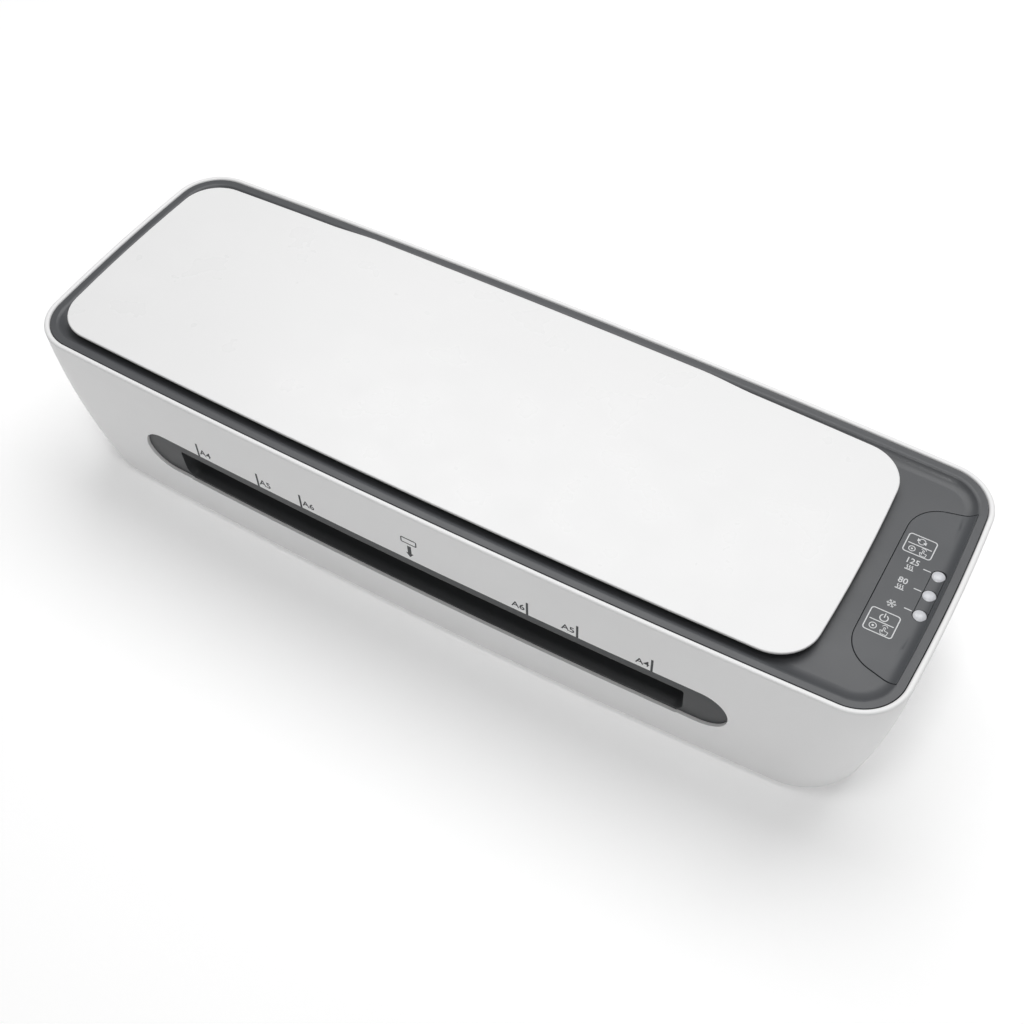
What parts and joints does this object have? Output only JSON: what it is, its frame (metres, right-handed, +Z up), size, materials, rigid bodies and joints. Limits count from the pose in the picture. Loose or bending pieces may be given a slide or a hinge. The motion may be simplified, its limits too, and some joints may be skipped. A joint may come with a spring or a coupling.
{
  "type": "pouch laminator",
  "caption": "Desktop pouch laminator: bowed white shell, dark sunken deck, white cover plate, rocker key with lenses, wide entry slot and a roller drive inside.",
  "frame": {"origin": "under the middle of the body, on the surface it stands on", "axes": "+X along the length towards the end with the key, -Y towards the entry side, +Z up"},
  "size_m": [0.388, 0.1322, 0.0844],
  "materials": {
    "white_shell": "fine satin moulded ABS, warm neutral white",
    "white_cover": "smooth semi-gloss moulded ABS, white",
    "dark_deck": "fine spark-eroded texture, dark neutral grey",
    "dark_key": "fine spark-eroded texture, dark neutral grey with pale printed marks",
    "dark_bezel": "smooth satin dark grey",
    "base_plastic": "plain moulded ABS, white",
    "black_rubber": "soft black rubber",
    "white_lens": "milky diffusing acrylic",
    "inner_plastic": "black glass-filled nylon",
    "bright_steel": "turned bright steel",
    "spring_steel": "hard-drawn spring wire",
    "zinc_sheet": "zinc-plated sheet steel",
    "screw_zinc": "zinc-plated steel",
    "circuit_board": "green solder mask on glass epoxy",
    "switch_black": "black nylon",
    "led_resin": "milky epoxy",
    "heater_aluminium": "extruded, lightly brushed",
    "mica_element": "mica sheet with a wound heating band",
    "thermostat_black": "phenolic",
    "fuse_white": "glazed ceramic",
    "silicone": "ground silicone rubber",
    "gear_nylon": "natural acetal",
    "bush_acetal": "black acetal",
    "motor_case": "plated steel can",
    "capacitor_sleeve": "dark blue heat-shrink sleeve",
    "relay_blue": "blue moulded case",
    "terminal_green": "green moulded block"
  },
  "bodies": {
    "housing": {"outer_shell": "white_shell", "cover_plate": "white_cover", "top_deck": "dark_deck", "indicator_strip": "dark_key", "entry_bezel": "dark_bezel", "exit_bezel": "dark_bezel", "base_plate": "base_plastic", "rubber_feet": "black_rubber", "cord_gland": "black_rubber", "indicator_lens_rear": "white_lens", "indicator_lens_middle": "white_lens", "indicator_lens_front": "white_lens", "control_bracket": "inner_plastic", "key_pivot_pin": "bright_steel", "control_board": "circuit_board", "tact_switches": "switch_black", "indicator_leds": "led_resin", "side_frame_left": "zinc_sheet", "side_frame_right": "zinc_sheet", "tie_bars": "bright_steel", "lower_heater_plate": "heater_aluminium", "upper_heater_plate": "heater_aluminium", "lower_heating_element": "mica_element", "upper_heating_element": "mica_element", "thermostat": "thermostat_black", "thermal_fuse": "fuse_white", "exit_guide_lower": "inner_plastic", "exit_guide_upper": "inner_plastic", "idler_clip": "bright_steel", "lower_roller_bushes": "bush_acetal", "pressure_spring_left": "spring_steel", "pressure_spring_right": "spring_steel", "idler_post": "bright_steel", "gear_motor": "motor_case", "motor_bracket": "zinc_sheet", "power_board": "circuit_board", "filter_capacitor": "capacitor_sleeve", "relay": "relay_blue", "mains_fuse": "fuse_white", "terminal_block": "terminal_green", "housing_screws": "screw_zinc", "chassis_screws": "screw_zinc", "board_screws": "screw_zinc"},
    "control_key": {"control_key": "dark_key"},
    "power_switch_stem": {"power_switch_stem": "switch_black"},
    "mode_switch_stem": {"mode_switch_stem": "switch_black"},
    "lower_roller": {"lower_roller_shaft": "bright_steel", "lower_roller_sleeve": "silicone", "lower_roller_gear": "gear_nylon", "lower_roller_clip": "bright_steel"},
    "upper_roller_carrier": {"upper_roller_bushes": "bush_acetal"},
    "upper_roller": {"upper_roller_shaft": "bright_steel", "upper_roller_sleeve": "silicone", "upper_roller_gear": "gear_nylon", "upper_roller_clip": "bright_steel"},
    "idler_gear": {"idler_gear": "gear_nylon"},
    "motor_output": {"motor_pinion": "gear_nylon", "motor_shaft": "bright_steel"}
  },
  "joints": [
    {"name": "key_rock", "type": "hinge", "parent": "housing", "child": "control_key", "pos_m": [0.1735, 0, 0.074], "axis": [1, 0, 0], "range_deg": [-1, 1], "stiffness_Nm_per_rad": 1},
    {"name": "power_switch_press", "type": "slide", "parent": "housing", "child": "power_switch_stem", "axis": [0, 0, -1], "range_m": [0, 0.00025], "stiffness_N_per_m": 1500, "springref_m": -0.0001},
    {"name": "mode_switch_press", "type": "slide", "parent": "housing", "child": "mode_switch_stem", "axis": [0, 0, -1], "range_m": [0, 0.00025], "stiffness_N_per_m": 1500, "springref_m": -0.0001},
    {"name": "lower_roller_spin", "type": "hinge", "parent": "housing", "child": "lower_roller", "pos_m": [0, 0.02, 0.03085], "axis": [1, 0, 0], "continuous": true},
    {"name": "upper_roller_lift", "type": "slide", "parent": "housing", "child": "upper_roller_carrier", "axis": [0, 0, 1], "range_m": [0, 0.001], "stiffness_N_per_m": 8000, "springref_m": -0.003, "deforming": ["pressure_spring_left", "pressure_spring_right"]},
    {"name": "upper_roller_spin", "type": "hinge", "parent": "upper_roller_carrier", "child": "upper_roller", "pos_m": [0, 0.02, 0.05115], "axis": [1, 0, 0], "continuous": true},
    {"name": "idler_spin", "type": "hinge", "parent": "housing", "child": "idler_gear", "pos_m": [-0.133, -0.0051, 0.03085], "axis": [1, 0, 0], "continuous": true},
    {"name": "motor_output_spin", "type": "hinge", "parent": "housing", "child": "motor_output", "pos_m": [-0.133, -0.01886, 0.04878], "axis": [1, 0, 0], "continuous": true}
  ],
  "couplings": [
    {"joint": "upper_roller_spin", "follows": "lower_roller_spin", "ratio": -1},
    {"joint": "idler_spin", "follows": "lower_roller_spin", "ratio": -0.66667},
    {"joint": "motor_output_spin", "follows": "lower_roller_spin", "ratio": 1.3333}
  ]
}
